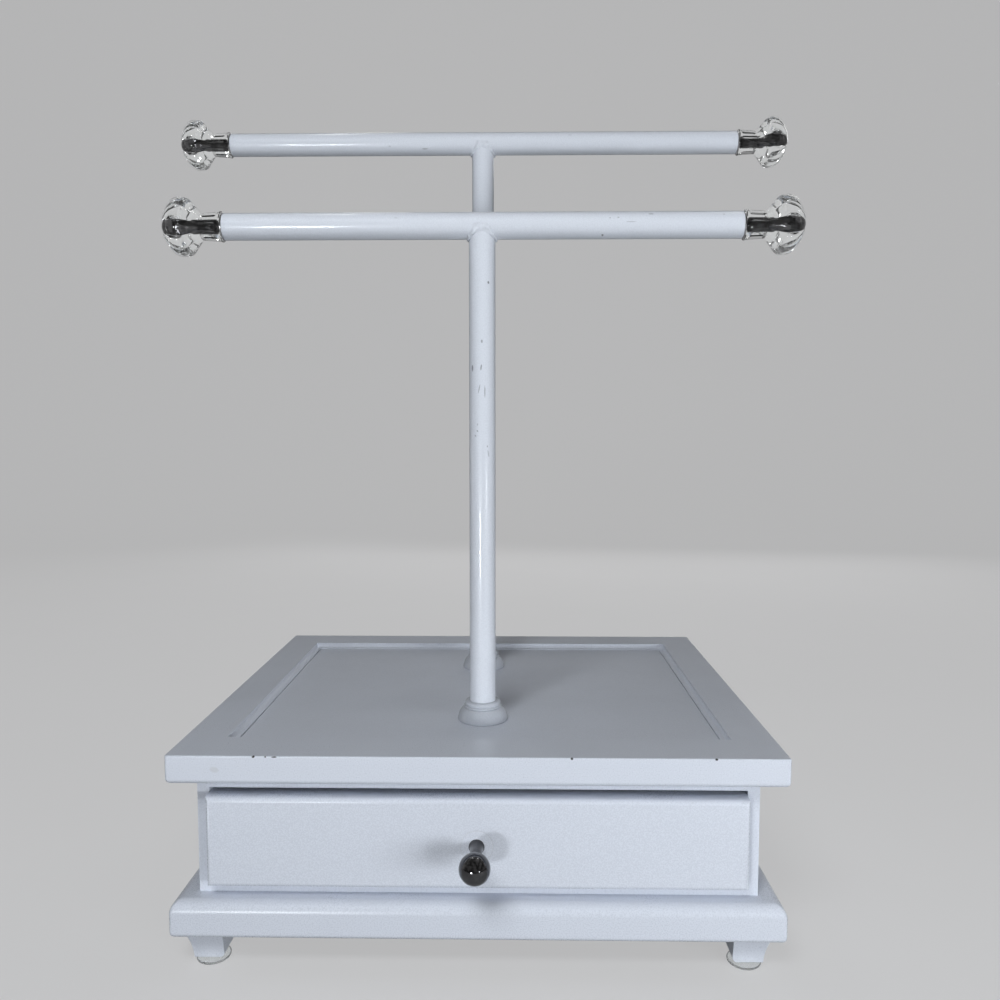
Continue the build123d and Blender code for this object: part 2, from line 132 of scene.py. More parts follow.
# ---- colours, linear ---------------------------------------------------
PAINT = (0.775, 0.810, 0.885, 1.0)
PAINT_DULL = (0.690, 0.722, 0.795, 1.0)
PAINT_RUBBED = (0.560, 0.570, 0.590, 1.0)
TUBE_PAINT = (0.800, 0.832, 0.895, 1.0)
TUBE_DULL = (0.725, 0.755, 0.815, 1.0)
# Greyer paint for the flanges: painted shade for the shadow they sit in.
FLANGE_PAINT_SHADED = (0.600, 0.628, 0.685, 1.0)
FLANGE_DULL_SHADED = (0.540, 0.566, 0.620, 1.0)
SCUFF = (0.120, 0.125, 0.140, 1.0)
CHIP = (0.045, 0.040, 0.038, 1.0)
DUST = (0.560, 0.550, 0.535, 1.0)
SATIN = (0.700, 0.705, 0.705, 1.0)
SATIN_DULL = (0.640, 0.640, 0.635, 1.0)
# Nickel darkened below its own tone: a painted dark reflection of a dim room, for the knob and the
# studs.
NICKEL_WITH_DARK_REFLECTION = (0.150, 0.148, 0.150, 1.0)
NICKEL_WITH_DARK_REFLECTION_DEEP = (0.100, 0.098, 0.101, 1.0)
PLUG_NICKEL = (0.460, 0.462, 0.470, 1.0)
PLUG_NICKEL_DEEP = (0.380, 0.380, 0.390, 1.0)
ZINC = (0.520, 0.525, 0.540, 1.0)
ZINC_DULL = (0.330, 0.330, 0.335, 1.0)
GLASS = (0.975, 0.990, 0.988, 1.0)
PAD = (0.880, 0.905, 0.905, 1.0)
FELT = (0.330, 0.330, 0.350, 1.0)
FELT_PALE = (0.430, 0.430, 0.450, 1.0)
FLOOR = (0.600, 0.600, 0.605, 1.0)
FLOOR_PALE = (0.620, 0.620, 0.625, 1.0)
FLOOR_BOUNCE = (0.180, 0.180, 0.182, 1.0)
BACKDROP = (0.720, 0.720, 0.725, 1.0)


# ---- node helpers ------------------------------------------------------
class Work:
    """The node tree that the helpers below add to."""

    tree = None


def feed(socket, value):
    """Links a socket to another, or sets it."""
    if isinstance(value, bpy.types.NodeSocket):
        Work.tree.links.new(value, socket)
    else:
        socket.default_value = value


def add(kind, inputs=None, **settings):
    """A new node with its settings made and its inputs fed."""
    made = Work.tree.nodes.new(kind)
    for name, value in settings.items():
        setattr(made, name, value)
    for name, value in (inputs or {}).items():
        feed(made.inputs[name], value)
    return made


def calc(operation, *values, clamp=False):
    made = add("ShaderNodeMath", operation=operation, use_clamp=clamp)
    for socket, value in zip(made.inputs, values):
        feed(socket, value)
    return made.outputs[0]


def plus(first, second):
    return calc("ADD", first, second)


def minus(first, second):
    return calc("SUBTRACT", first, second)


def times(first, second):
    return calc("MULTIPLY", first, second)


def times_plus(value, factor, more, clamp=False):
    return calc("MULTIPLY_ADD", value, factor, more, clamp=clamp)


def vector_calc(operation, *values):
    made = add("ShaderNodeVectorMath", operation=operation)
    for socket, value in zip(made.inputs, values):
        feed(socket, value)
    number = operation in ("LENGTH", "DISTANCE", "DOT_PRODUCT")
    return made.outputs["Value" if number else "Vector"]


def split(vector):
    """The X, Y and Z of a vector."""
    return add("ShaderNodeSeparateXYZ", {"Vector": vector}).outputs


def point(x=0.0, y=0.0, z=0.0):
    return add("ShaderNodeCombineXYZ", {"X": x, "Y": y, "Z": z}).outputs[0]


def stretched(vector, amount):
    """A vector times one number."""
    made = add("ShaderNodeVectorMath", {"Scale": amount}, operation="SCALE")
    feed(made.inputs[0], vector)
    return made.outputs[0]


def ramp(value, low, high, start=0.0, end=1.0, smooth=True):
    """Maps low..high to start..end and holds the ends."""
    made = add("ShaderNodeMapRange", {
        "Value": value, "From Min": low, "From Max": high, "To Min": start, "To Max": end,
    }, interpolation_type="SMOOTHSTEP" if smooth else "LINEAR", clamp=True)
    return made.outputs["Result"]


def blend_colours(share, first, second):
    made = add("ShaderNodeMix", data_type="RGBA")
    feed(made.inputs["Factor"], share)
    colour_inputs = [socket for socket in made.inputs if socket.type == "RGBA"]
    feed(colour_inputs[0], first)
    feed(colour_inputs[1], second)
    return [socket for socket in made.outputs if socket.type == "RGBA"][0]


def blend_numbers(share, first, second):
    return add("ShaderNodeMix", {"Factor": share, "A": first, "B": second}).outputs["Result"]


def noise(place, scale, detail=2.0, roughness=0.5, distortion=0.0):
    made = add("ShaderNodeTexNoise", {
        "Vector": place, "Scale": scale, "Detail": detail,
        "Roughness": roughness, "Distortion": distortion,
    })
    return made.outputs[0]


def start_group(name, kind, inputs, outputs):
    """An empty node group. An input is given by its starting value, or by its kind of socket."""
    tree = bpy.data.node_groups.new(name, kind)
    for label, value in inputs.items():
        kinds = {float: "Float", int: "Int", tuple: "Vector"}
        socket_kind = "NodeSocket" + kinds.get(type(value), str(value))
        socket = tree.interface.new_socket(label, in_out="INPUT", socket_type=socket_kind)
        if type(value) in kinds:
            socket.default_value = value
    for label, socket_kind in outputs.items():
        tree.interface.new_socket(label, in_out="OUTPUT", socket_type="NodeSocket" + socket_kind)
    Work.tree = tree
    return tree, add("NodeGroupInput").outputs, add("NodeGroupOutput").inputs


# ---- shared effects, as shader node groups -----------------------------
def edge_rub_group():
    """How near a point of a boxy board is to its edges, broken up as worn paint is."""
    tree, given, result = start_group("edge rub", "ShaderNodeTree", {
        "Place": "Vector", "Low Corner": "Vector", "High Corner": "Vector", "Width": 1.5 * MM,
        "Breakup Scale": 140.0, "Bareness": 0.5,
    }, {"Mask": "Float"})
    place = given["Place"]
    from_low = vector_calc("SUBTRACT", place, given["Low Corner"])
    from_high = vector_calc("SUBTRACT", given["High Corner"], place)
    x, y, z = split(vector_calc("MINIMUM", from_low, from_high))
    lesser = calc("MINIMUM", x, y)
    greater = calc("MAXIMUM", x, y)
    to_edge = calc("MAXIMUM", lesser, calc("MINIMUM", greater, z))
    near = ramp(to_edge, 0.0, given["Width"], 1.0, 0.0)
    patches = noise(place, given["Breakup Scale"], 3.0, 0.6)
    threshold = minus(1.0, given["Bareness"])
    worn = ramp(patches, threshold, plus(threshold, 0.08))
    feed(result["Mask"], times(near, worn))
    return tree


def paint_skin_group():
    """The slight orange peel, roller drift and grit of brushed-on or sprayed paint."""
    tree, given, result = start_group("paint skin", "ShaderNodeTree", {
        "Place": "Vector", "Peel Scale": 620.0, "Drift Scale": 11.0, "Grit Scale": 1500.0,
        "Grit Amount": 0.35,
    }, {"Height": "Float", "Tone": "Float", "Gloss Drift": "Float"})
    place = given["Place"]
    peel = noise(place, given["Peel Scale"], 2.0, 0.45)
    drift = noise(place, given["Drift Scale"], 1.0, 0.4)
    grit = noise(place, given["Grit Scale"], 1.0, 0.5)
    bump_of_grit = ramp(grit, 0.66, 0.78)
    raised = times(bump_of_grit, given["Grit Amount"])
    feed(result["Height"], plus(peel, raised))
    speckled = times_plus(minus(grit, 0.5), 1.8, 0.4)
    feed(result["Tone"], times_plus(drift, 0.2, speckled, clamp=True))
    feed(result["Gloss Drift"], minus(speckled, 0.4))
    return tree


def mark_group():
    """One small mark, such as a chip or a scuff, with a ragged outline."""
    tree, given, result = start_group("mark", "ShaderNodeTree", {
        "Place": "Vector", "Middle": "Vector", "Half Size": (MM, MM, MM), "Lean": 0.0,
        "Raggedness": 0.6, "Strength": 1.0,
    }, {"Mask": "Float"})
    x, y, z = split(vector_calc("SUBTRACT", given["Place"], given["Middle"]))
    straight = point(times_plus(z, given["Lean"], x), y, z)
    shares = vector_calc("DIVIDE", straight, given["Half Size"])
    away = vector_calc("LENGTH", shares)
    ragged = minus(noise(given["Place"], 1900.0, 2.0, 0.6), 0.5)
    uneven = times_plus(ragged, given["Raggedness"], away)
    mask = ramp(uneven, 0.55, 1.05, 1.0, 0.0)
    feed(result["Mask"], times(mask, given["Strength"]))
    return tree


def dust_group():
    """Loose dust that lies on faces that look up."""
    tree, given, result = start_group("dust", "ShaderNodeTree", {
        "Place": "Vector", "Cloud Scale": 22.0, "Speck Scale": 1300.0,
    }, {"Mask": "Float"})
    facing = split(add("ShaderNodeNewGeometry").outputs["Normal"])
    upward = ramp(facing["Z"], 0.55, 0.95)
    clouds = ramp(noise(given["Place"], given["Cloud Scale"], 4.0, 0.6), 0.35, 0.75)
    specks = ramp(noise(given["Place"], given["Speck Scale"], 1.0), 0.62, 0.72)
    amount = times_plus(specks, 0.6, clouds, clamp=True)
    feed(result["Mask"], times(amount, upward))
    return tree


edge_rub = edge_rub_group()
paint_skin = paint_skin_group()
paint_mark = mark_group()
loose_dust = dust_group()


# ---- materials ---------------------------------------------------------
def start_material(name, **sockets):
    """A material with its Principled shader, and the object's own coordinates."""
    material = bpy.data.materials.new(name)
    material.use_nodes = True
    Work.tree = material.node_tree
    shader = Work.tree.nodes["Principled BSDF"]
    for label, value in sockets.items():
        shader.inputs[label.replace("_", " ")].default_value = value
    place = add("ShaderNodeTexCoord").outputs["Object"]
    return material, shader, place


def put_group(group, **inputs):
    """Places a group and gives what it puts out."""
    made = add("ShaderNodeGroup", node_tree=group)
    for label, value in inputs.items():
        feed(made.inputs[label.replace("_", " ")], value)
    return made.outputs


def with_marks(place, marks, look, mark_colour, depth, roughening):
    """A look with marks on it. A look is colour, height and roughness.

    A mark is middle, half size, lean and strength.
    """
    mask = None
    for centre, half_size, lean, strength in marks:
        one = put_group(
            paint_mark, Place=place, Middle=centre, Half_Size=half_size,
            Lean=lean, Strength=strength,
        )["Mask"]
        mask = one if mask is None else calc("MAXIMUM", mask, one)
    if mask is None:
        return look
    colour, height, rough = look
    return (
        blend_colours(mask, colour, mark_colour),
        times_plus(mask, depth, height),
        times_plus(mask, roughening, rough),
    )


def bumped(shader, height, distance, strength=1.0):
    bump = add("ShaderNodeBump", {"Height": height, "Strength": strength, "Distance": distance})
    feed(shader.inputs["Normal"], bump.outputs["Normal"])


def coat(shader, colour, rough, height, distance, strength=1.0):
    feed(shader.inputs["Base Color"], colour)
    feed(shader.inputs["Roughness"], rough)
    bumped(shader, height, distance, strength)


def board_paint(name, node, chips=(), scuffs=(), gloss=0.30, bareness=0.30, ring=None):
    """White semi-gloss paint over fibreboard, worn at the edges of its own board."""
    material, shader, place = start_material(name, Specular_IOR_Level=0.5)
    low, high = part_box(node)
    skin = put_group(paint_skin, Place=place)
    rub = put_group(
        edge_rub, Place=place, Low_Corner=low, High_Corner=high,
        Width=2.2 * MM, Breakup_Scale=85.0, Bareness=bareness,
    )["Mask"]
    dust = put_group(loose_dust, Place=place)["Mask"]
    colour = blend_colours(skin["Tone"], PAINT_DULL, PAINT)
    colour = blend_colours(times(rub, 0.35), colour, PAINT_RUBBED)
    colour = blend_colours(times(dust, 0.07), colour, DUST)
    height = times(skin["Height"], 0.3)
    rough = times_plus(skin["Gloss Drift"], 0.08, gloss)
    rough = times_plus(dust, 0.10, rough)
    look = with_marks(place, scuffs, (colour, height, rough), PAINT_RUBBED, 0.0, 0.2)
    colour, height, rough = with_marks(place, chips, look, CHIP, -4.0, 0.4)
    # The ring round the knob is a real dent in the bump, with painted shade darkening its colour.
    if ring:
        axis, ring_radius, ring_width = ring
        aside = vector_calc("SUBTRACT", place, axis)
        flat = vector_calc("MULTIPLY", aside, (1.0, 0.0, 1.0))
        past_ring = minus(vector_calc("LENGTH", flat), ring_radius)
        dent_and_shade = ramp(calc("ABSOLUTE", past_ring), 0.0, ring_width, 1.0, 0.0)
        height = times_plus(dent_and_shade, -1.2, height)
        colour = blend_colours(times(dent_and_shade, 0.25), colour, PAINT_RUBBED)
    coat(shader, colour, rough, height, 0.05 * MM)
    return material


def tube_paint(name, scuffs=(), dull=TUBE_DULL, pale=TUBE_PAINT):
    """White semi-gloss paint on steel tube, with scuffs where they are given."""
    material, shader, place = start_material(
        name, Specular_IOR_Level=0.4, Coat_Weight=0.5, Coat_Roughness=0.09,
    )
    skin = put_group(paint_skin, Place=place, Peel_Scale=480.0, Drift_Scale=30.0, Grit_Amount=0.2)
    dust = put_group(loose_dust, Place=place)["Mask"]
    colour = blend_colours(skin["Tone"], dull, pale)
    colour = blend_colours(times(dust, 0.10), colour, DUST)
    height = times(skin["Height"], 0.3)
    rough = times_plus(skin["Gloss Drift"], 0.10, 0.33)
    look = (colour, height, rough)
    colour, height, rough = with_marks(place, scuffs, look, SCUFF, -1.0, 0.25)
    coat(shader, colour, rough, height, 0.04 * MM)
    return material


def satin_paint():
    """The thinner satin paint of the drawer's box."""
    material, shader, place = start_material("satin paint", Specular_IOR_Level=0.4)
    skin = put_group(paint_skin, Place=place, Peel_Scale=800.0, Grit_Amount=0.6)
    along_fibres = vector_calc("MULTIPLY", place, (30.0, 240.0, 240.0))
    fibres = noise(along_fibres, 12.0, 3.0, 0.6)
    colour = blend_colours(skin["Tone"], SATIN_DULL, SATIN)
    rough = times_plus(skin["Gloss Drift"], 0.2, 0.48)
    coat(shader, colour, rough, times_plus(fibres, 0.3, skin["Height"]), 0.05 * MM)
    return material


def clear_glass():
    """Clear pressed glass with faint flow marks of the mould."""
    material, shader, place = start_material(
        "clear glass", Base_Color=GLASS, Transmission_Weight=1.0, IOR=1.52,
    )
    flow = noise(place, 170.0, 2.0, 0.5, 0.6)
    haze = ramp(noise(place, 420.0, 3.0, 0.6), 0.6, 0.85, 0.0, 0.03)
    feed(shader.inputs["Roughness"], haze)
    bumped(shader, flow, 0.05 * MM, 0.6)
    return material


def nickel_plate(name, deep, pale, least_roughness, most_roughness):
    """Polished nickel plate with hair marks and smears from wiping."""
    material, shader, place = start_material(name, Metallic=1.0)
    hairs = noise(vector_calc("MULTIPLY", place, (5.0, 1.0, 5.0)), 900.0, 2.0)
    smears = noise(place, 160.0, 3.0, 0.6)
    colour = blend_colours(ramp(smears, 0.35, 0.7), deep, pale)
    rough = ramp(smears, 0.3, 0.8, least_roughness, most_roughness)
    coat(shader, colour, rough, hairs, 0.01 * MM, 0.5)
    return material


def zinc_steel():
    """Zinc-plated steel, clouded and slightly brushed."""
    material, shader, place = start_material("zinc plated steel", Metallic=1.0)
    clouds = noise(place, 420.0, 4.0, 0.6)
    colour = blend_colours(ramp(clouds, 0.35, 0.7), ZINC_DULL, ZINC)
    coat(shader, colour, ramp(clouds, 0.3, 0.8, 0.26, 0.48), noise(place, 3000.0, 1.0), 0.01 * MM)
    return material


def clear_pad():
    """Soft clear plastic, a little cloudy."""
    material, shader, place = start_material(
        "clear soft pad", Base_Color=PAD, Transmission_Weight=0.92, IOR=1.46,
    )
    cloudy = noise(place, 300.0, 3.0, 0.6)
    feed(shader.inputs["Roughness"], ramp(cloudy, 0.3, 0.75, 0.08, 0.30))
    bumped(shader, cloudy, 0.05 * MM, 0.4)
    return material


def grey_felt():
    """Short grey felt: matted fibres, paler where the nap stands."""
    material, shader, place = start_material(
        "grey felt", Sheen_Weight=0.35, Sheen_Roughness=0.55, Specular_IOR_Level=0.15,
    )
    nap = noise(place, 900.0, 4.0, 0.7, 1.5)
    along_nap = vector_calc("MULTIPLY", place, (1.0, 0.22, 1.0))
    strands = noise(along_nap, 2600.0, 2.0, 0.6, 2.0)
    shading = noise(place, 26.0, 3.0, 0.6)
    tone = times_plus(shading, 0.5, times(nap, 0.6))
    colour = blend_colours(ramp(tone, 0.3, 0.8), FELT, FELT_PALE)
    coat(shader, colour, ramp(nap, 0.2, 0.8, 0.86, 0.98), times_plus(strands, 0.6, nap), 0.25 * MM)
    return material


# ---- geometry trees ----------------------------------------------------
def positions():
    return add("GeometryNodeInputPosition").outputs[0]


def dressed_out(output, geometry, finish):
    """Ends a tree: real geometry, with its material set."""
    real = add("GeometryNodeRealizeInstances", {"Geometry": geometry})
    made = add("GeometryNodeSetMaterial", {"Geometry": real.outputs[0], "Material": finish})
    feed(output, made.outputs[0])


def turned_tree():
    """Turns a profile about Z, with optional flutes, flat neck facets and a hand's unevenness."""
    tree, given, result = start_group("turned piece", "GeometryNodeTree", {
        "Profile": "Geometry", "Sides": 96, "Flutes": 0, "Flute Depth": 0.0,
        "Flute Roundness": 0.6, "Flute Start": 0.0, "Flute End": 1.0, "Facet Depth": 0.0,
        "Facet Start": 0.0, "Unevenness": 0.0, "Unevenness Scale": 30.0, "Seed": 1.0,
        "Finish": "Material",
    }, {"Piece": "Geometry"})
    profile = given["Profile"]
    size = add("GeometryNodeAttributeDomainSize", {"Geometry": profile}, component="MESH")
    count = size.outputs["Point Count"]
    grid = add("GeometryNodeMeshGrid", {
        "Size X": 1.0, "Size Y": 1.0, "Vertices X": count,
        "Vertices Y": plus(given["Sides"], 1.0),
    })
    along, across_grid, _ = split(positions())
    last = minus(count, 1.0)
    station = calc("ROUND", times(plus(along, 0.5), last))
    sample = add("GeometryNodeSampleIndex", data_type="FLOAT_VECTOR", domain="POINT")
    feed(sample.inputs["Geometry"], profile)
    feed(sample.inputs["Value"], positions())
    feed(sample.inputs["Index"], station)
    radius, _, level = split(sample.outputs["Value"])

    angle = times(plus(across_grid, 0.5), 2 * pi)
    half_wave = times(times(angle, given["Flutes"]), 0.5)
    wave = calc("ABSOLUTE", calc("SINE", half_wave))
    lobe = calc("POWER", wave, given["Flute Roundness"])
    in_head = ramp(level, given["Flute Start"], given["Flute End"])
    carved = times(minus(1.0, lobe), times(in_head, given["Flute Depth"]))

    sector = calc("DIVIDE", 2 * pi, calc("MAXIMUM", given["Flutes"], 3.0))
    half_sector = times(sector, 0.5)
    from_middle = minus(calc("FLOORED_MODULO", angle, sector), half_sector)
    flat_distance = calc("COSINE", half_sector)
    shrunk = calc("DIVIDE", flat_distance, calc("COSINE", from_middle))
    above_lip = calc("GREATER_THAN", level, given["Facet Start"])
    on_neck = times(minus(1.0, in_head), above_lip)
    faceted = times(minus(1.0, shrunk), times(on_neck, given["Facet Depth"]))

    shaped = times(radius, minus(minus(1.0, carved), faceted))
    x = times(shaped, calc("COSINE", angle))
    y = times(shaped, calc("SINE", angle))
    round_place = point(x, y, level)
    drift = add("ShaderNodeTexNoise", {
        "Vector": vector_calc("ADD", round_place, point(z=given["Seed"])),
        "Scale": given["Unevenness Scale"], "Detail": 1.0,
    })
    sway = vector_calc("SUBTRACT", drift.outputs["Color"], (0.5, 0.5, 0.5))
    swayed = stretched(sway, given["Unevenness"])
    moved = add("GeometryNodeSetPosition", {
        "Geometry": grid.outputs["Mesh"], "Position": vector_calc("ADD", round_place, swayed),
    })
    joined = add("GeometryNodeMergeByDistance", {
        "Geometry": moved.outputs[0], "Distance": MERGE_DISTANCE,
    })
    dressed_out(result["Piece"], joined.outputs[0], given["Finish"])
    return tree


def screw_tree():
    """Sets a screw at each given place: recessed head, shank and thread ridges."""
    tree, given, result = start_group("set of screws", "GeometryNodeTree", {
        "Places": "Geometry", "Head Radius": 3.8 * MM, "Head Neck Radius": 1.9 * MM,
        "Head Height": 2.0 * MM, "Shank Radius": 1.6 * MM, "Length": 15.0 * MM,
        "Point Length": 3.0 * MM, "Thread Radius": 1.9 * MM, "Thread Pitch": 1.2 * MM,
        "Recess Arms": 2, "Recess Span": 4.0 * MM, "Recess Width": 0.9 * MM,
        "Recess Depth": 1.2 * MM, "Turn": "Rotation", "Seed": 3, "Finish": "Material",
    }, {"Screws": "Geometry"})

    def moved_up(mesh, height):
        return add("GeometryNodeTransform", {
            "Geometry": mesh, "Translation": point(z=height),
        }).outputs[0]

    def cone(foot_radius, top_radius, height, sides=24):
        return add("GeometryNodeMeshCone", {
            "Vertices": sides, "Radius Bottom": foot_radius, "Radius Top": top_radius,
            "Depth": height,
        }).outputs["Mesh"]

    head = cone(given["Head Radius"], given["Head Neck Radius"], given["Head Height"], 32)
    arms = add("GeometryNodeMeshLine", {"Count": given["Recess Arms"], "Offset": (0.0, 0.0, 0.0)})
    cut_through = times(given["Recess Depth"], 2.0)
    recess_size = point(given["Recess Span"], given["Recess Width"], cut_through)
    arm = add("GeometryNodeMeshCube", {"Size": recess_size}).outputs["Mesh"]
    half_turns = times(add("GeometryNodeInputIndex").outputs[0], pi)
    arm_turn = calc("DIVIDE", half_turns, given["Recess Arms"])
    spread = add("GeometryNodeInstanceOnPoints", {
        "Points": arms.outputs["Mesh"], "Instance": arm, "Rotation": point(z=arm_turn),
    })
    cutter = add("GeometryNodeRealizeInstances", {"Geometry": spread.outputs[0]}).outputs[0]
    cut = add("GeometryNodeMeshBoolean", operation="DIFFERENCE", solver="EXACT")
    feed(cut.inputs["Mesh 1"], head)
    feed(cut.inputs["Mesh 2"], cutter)
    cut.inputs["Self Intersection"].default_value = True

    below_head = minus(given["Length"], given["Head Height"])
    body_length = minus(below_head, given["Point Length"])
    shank = add("GeometryNodeMeshCylinder", {
        "Vertices": 24, "Radius": given["Shank Radius"], "Depth": body_length,
    }).outputs["Mesh"]
    shank_middle = times_plus(body_length, 0.5, given["Head Height"])
    tip = cone(given["Shank Radius"], screw_tip_radius, given["Point Length"])
    tip_foot = plus(body_length, given["Head Height"])
    half_pitch = times(given["Thread Pitch"], 0.5)
    ridge = cone(given["Thread Radius"], given["Shank Radius"], half_pitch)
    ridge_count = calc("FLOOR", calc("DIVIDE", body_length, given["Thread Pitch"]))
    ridge_line = add("GeometryNodeMeshLine", {
        "Count": ridge_count, "Start Location": point(z=given["Head Height"]),
        "Offset": point(z=given["Thread Pitch"]),
    })
    ridges = add("GeometryNodeInstanceOnPoints", {
        "Points": ridge_line.outputs["Mesh"], "Instance": ridge,
    })
    whole = add("GeometryNodeJoinGeometry")
    high_shank = moved_up(shank, shank_middle)
    high_tip = moved_up(tip, tip_foot)
    for part in (cut.outputs["Mesh"], high_shank, high_tip, ridges.outputs[0]):
        feed(whole.inputs[0], part)
    screw = add("GeometryNodeRealizeInstances", {"Geometry": whole.outputs[0]}).outputs[0]
    spin = add("FunctionNodeRandomValue", data_type="FLOAT")
    spin.inputs[3].default_value = 2 * pi
    feed(spin.inputs["Seed"], given["Seed"])
    placed = add("GeometryNodeInstanceOnPoints", {
        "Points": given["Places"], "Instance": screw, "Rotation": given["Turn"],
    })
    spun = add("GeometryNodeRotateInstances", {
        "Instances": placed.outputs[0], "Rotation": point(z=spin.outputs[1]),
    })
    dressed_out(result["Screws"], spun.outputs[0], given["Finish"])
    return tree


def weld_tree():
    """Lays soft ripples, as of a hand-made bead under paint, on a remeshed bead."""
    tree, given, result = start_group("weld ripples", "GeometryNodeTree", {
        "Bead": "Geometry", "Ripple Height": 0.5 * MM, "Ripple Scale": 330.0, "Seed": 1.0,
        "Finish": "Material",
    }, {"Weld": "Geometry"})
    shifted = vector_calc("ADD", positions(), point(given["Seed"]))
    ripple = noise(shifted, given["Ripple Scale"], 2.0, 0.4)
    height = times(minus(ripple, 0.55), given["Ripple Height"])
    lift = stretched(add("GeometryNodeInputNormal").outputs[0], height)
    lifted = add("GeometryNodeSetPosition", {"Geometry": given["Bead"], "Offset": lift})
    dressed_out(result["Weld"], lifted.outputs[0], given["Finish"])
    return tree


turned = turned_tree()
screws = screw_tree()
weld_ripples = weld_tree()


# ---- making pieces -----------------------------------------------------
def new_object(name, data):
    obj = bpy.data.objects.new(name, data)
    bpy.context.scene.collection.objects.link(obj)
    return obj


def grown(mesh, tree, **inputs):
    """The plain mesh that a geometry tree makes from a starting mesh."""
    start = new_object("start of " + tree.name, mesh)
    modifier = start.modifiers.new(tree.name, "NODES")
    modifier.node_group = tree
    sockets = {s.name: s.identifier for s in tree.interface.items_tree if s.in_out == "INPUT"}
    for label, value in inputs.items():
        modifier[sockets[label.replace("_", " ")]] = value
    made = settled(start)
    start.modifiers.clear()
    bpy.data.objects.remove(start)
    return made


def settled(obj):
    """The object's mesh with its modifiers applied."""
    bpy.context.view_layer.update()
    evaluated = obj.evaluated_get(bpy.context.evaluated_depsgraph_get())
    return bpy.data.meshes.new_from_object(evaluated)


def tidy_mesh(mesh, sharp_angle, turn_out=True):
    """Merges doubles, turns faces outward and shades smooth between sharp edges."""
    shape = bmesh.new()
    shape.from_mesh(mesh)
    bmesh.ops.remove_doubles(shape, verts=shape.verts, dist=MERGE_DISTANCE)
    if turn_out:
        bmesh.ops.recalc_face_normals(shape, faces=shape.faces)
    shape.to_mesh(mesh)
    shape.free()
    mesh.shade_smooth()
    mesh.set_sharp_from_angle(angle=radians(sharp_angle))


def finished(name, mesh, material, nodes, body):
    """A finished piece: its mesh holds its place, and it rides on its body."""
    if material is not None:
        mesh.materials.clear()
        mesh.materials.append(material)
    obj = new_object(name, mesh)
    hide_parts(*nodes)
    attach(obj, body)
    return obj


def plain_copy(node):
    """A CAD node's mesh with its loose triangles merged."""
    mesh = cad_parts[node].data.copy()
    if "custom_normal" in mesh.attributes:
        mesh.attributes.remove(mesh.attributes["custom_normal"])
    mesh.materials.clear()
    tidy_mesh(mesh, 32, turn_out=False)
    return mesh


def dressed(name, node, material, body="stand"):
    """A board or fitting kept at its CAD shape, with even shading over its rounded edges."""
    carrier = new_object("carrier", plain_copy(node))
    even = carrier.modifiers.new("even shading", "WEIGHTED_NORMAL")
    even.keep_sharp = True
    even.weight = 100
    mesh = settled(carrier)
    bpy.data.objects.remove(carrier)
    return finished(name, mesh, material, [node], body)


def profile_mesh(points):
    """A profile as a line of points: distance from the axis, and height along it."""
    mesh = bpy.data.meshes.new("profile")
    places = [(radius, 0.0, height) for radius, height in points]
    mesh.from_pydata(places, [(i, i + 1) for i in range(len(places) - 1)], [])
    return mesh


def arc(centre, radius, start, end, steps=8):
    """Points of a round, with its angles in degrees."""
    points = []
    for i in range(steps + 1):
        angle = radians(start + (end - start) * i / steps)
        points.append((centre[0] + radius * cos(angle), centre[1] + radius * sin(angle)))
    return points


def run(first, last, steps):
    """Points of a straight run, without its first point."""
    return [
        (first[0] + (last[0] - first[0]) * i / steps, first[1] + (last[1] - first[1]) * i / steps)
        for i in range(1, steps + 1)
    ]


def turned_piece(
    name, points, placing, material, slot, nodes, body="stand", sharp_angle=30, **inputs,
):
    """A piece turned from a profile and put in its place."""
    mesh = grown(profile_mesh(points), turned, Finish=material, **inputs)
    mesh.transform(placing)
    tidy_mesh(mesh, sharp_angle)
    return finished(name, mesh, None, nodes, body)


def solids_of(node):
    """The boxes of a node's separate solids, lowest and highest corner of each."""
    shape = bmesh.new()
    shape.from_mesh(plain_copy(node))
    shape.verts.ensure_lookup_table()
    seen, boxes = set(), []
    for first in shape.verts:
        if first.index in seen:
            continue
        seen.add(first.index)
        waiting, group = [first], []
        while waiting:
            vert = waiting.pop()
            group.append(vert.co.copy())
            for edge in vert.link_edges:
                other = edge.other_vert(vert)
                if other.index not in seen:
                    seen.add(other.index)
                    waiting.append(other)
        low = Vector(min(v[i] for v in group) for i in range(3))
        high = Vector(max(v[i] for v in group) for i in range(3))
        boxes.append((low, high))
    shape.free()
    return boxes


UP = Matrix.Identity(4)
TO_RIGHT = Matrix.Rotation(pi / 2, 4, "Y")
TO_LEFT = Matrix.Rotation(-pi / 2, 4, "Y")
TO_FRONT = Matrix.Rotation(pi / 2, 4, "X")


def placed_at(place, turn=UP):
    return Matrix.Translation(place) @ turn


# ---- marks seen on the real one ----------------------------------------
front_post = middle("post_front")
rear_post = middle("post_rear")
front_bar = middle("bar_front")
rear_bar = middle("bar_rear")


def tube_mark(tube, aside, height, half_width, half_length, lean=0.0, strength=1.0):
    """A mark on the front of a tube.

    It lies aside from the post's axis and above the floor. Its sizes are in millimetres.
    """
    middle_of_mark = (tube.x + aside * MM, tube.y - tube_radius, height * MM)
    return middle_of_mark, (half_width * MM, 6 * MM, half_length * MM), lean, strength


